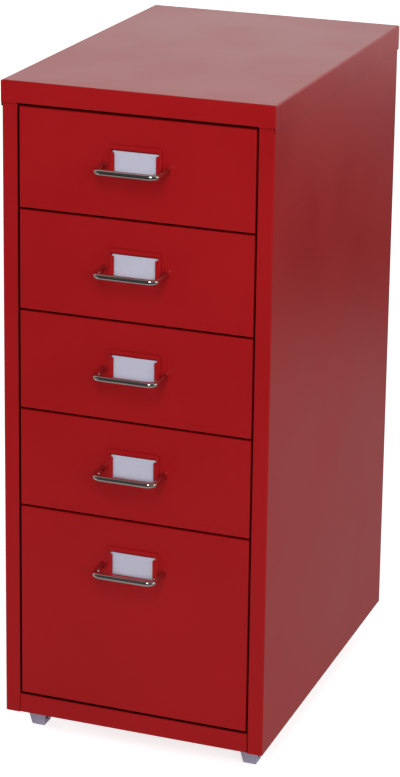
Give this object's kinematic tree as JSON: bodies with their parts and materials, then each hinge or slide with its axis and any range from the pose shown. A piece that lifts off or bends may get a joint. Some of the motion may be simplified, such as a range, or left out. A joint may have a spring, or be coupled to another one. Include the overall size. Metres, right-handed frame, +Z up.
{
  "type": "drawer cabinet",
  "caption": "Tall narrow sheet-steel drawer cabinet on moulded feet, with wire bail handles, pressed label pockets and a deep bottom drawer.",
  "frame": {"origin": "on the floor, under the middle of the whole object with its handles", "axes": "+Z up, +X to the right seen from the front; the drawers open towards -Y"},
  "size_m": [0.2806, 0.4398, 0.6925],
  "materials": {
    "case_paint": "satin red powder coat",
    "inner_paint": "thin satin red coat on trays and runners",
    "chrome_wire": "bright chrome-plated wire",
    "zinc_steel": "dull zinc plate",
    "foot_plastic": "fine-textured grey moulding",
    "card": "blank uncoated card"
  },
  "bodies": {
    "cabinet": {"top_cap": "case_paint", "left_side_panel": "case_paint", "right_side_panel": "case_paint", "back_panel": "case_paint", "floor_panel": "case_paint", "runner_left_1": "inner_paint", "runner_left_2": "inner_paint", "runner_left_3": "inner_paint", "runner_left_4": "inner_paint", "runner_left_5": "inner_paint", "runner_right_1": "inner_paint", "runner_right_2": "inner_paint", "runner_right_3": "inner_paint", "runner_right_4": "inner_paint", "runner_right_5": "inner_paint", "foot_front_left": "foot_plastic", "foot_front_right": "foot_plastic", "foot_rear_left": "foot_plastic", "foot_rear_right": "foot_plastic", "foot_screws": "zinc_steel", "foot_nuts": "zinc_steel"},
    "drawer_1": {"drawer_1_front": "case_paint", "drawer_1_tray": "inner_paint", "drawer_1_handle": "chrome_wire", "drawer_1_handle_nuts": "zinc_steel", "drawer_1_label": "card"},
    "drawer_2": {"drawer_2_front": "case_paint", "drawer_2_tray": "inner_paint", "drawer_2_handle": "chrome_wire", "drawer_2_handle_nuts": "zinc_steel", "drawer_2_label": "card"},
    "drawer_3": {"drawer_3_front": "case_paint", "drawer_3_tray": "inner_paint", "drawer_3_handle": "chrome_wire", "drawer_3_handle_nuts": "zinc_steel", "drawer_3_label": "card"},
    "drawer_4": {"drawer_4_front": "case_paint", "drawer_4_tray": "inner_paint", "drawer_4_handle": "chrome_wire", "drawer_4_handle_nuts": "zinc_steel", "drawer_4_label": "card"},
    "drawer_5": {"drawer_5_front": "case_paint", "drawer_5_tray": "inner_paint", "drawer_5_handle": "chrome_wire", "drawer_5_handle_nuts": "zinc_steel", "drawer_5_label": "card"}
  },
  "joints": [
    {"name": "drawer_1_slide", "type": "slide", "parent": "cabinet", "child": "drawer_1", "axis": [0, -1, 0], "range_m": [0, 0.29]},
    {"name": "drawer_2_slide", "type": "slide", "parent": "cabinet", "child": "drawer_2", "axis": [0, -1, 0], "range_m": [0, 0.29]},
    {"name": "drawer_3_slide", "type": "slide", "parent": "cabinet", "child": "drawer_3", "axis": [0, -1, 0], "range_m": [0, 0.29]},
    {"name": "drawer_4_slide", "type": "slide", "parent": "cabinet", "child": "drawer_4", "axis": [0, -1, 0], "range_m": [0, 0.29]},
    {"name": "drawer_5_slide", "type": "slide", "parent": "cabinet", "child": "drawer_5", "axis": [0, -1, 0], "range_m": [0, 0.29]}
  ]
}
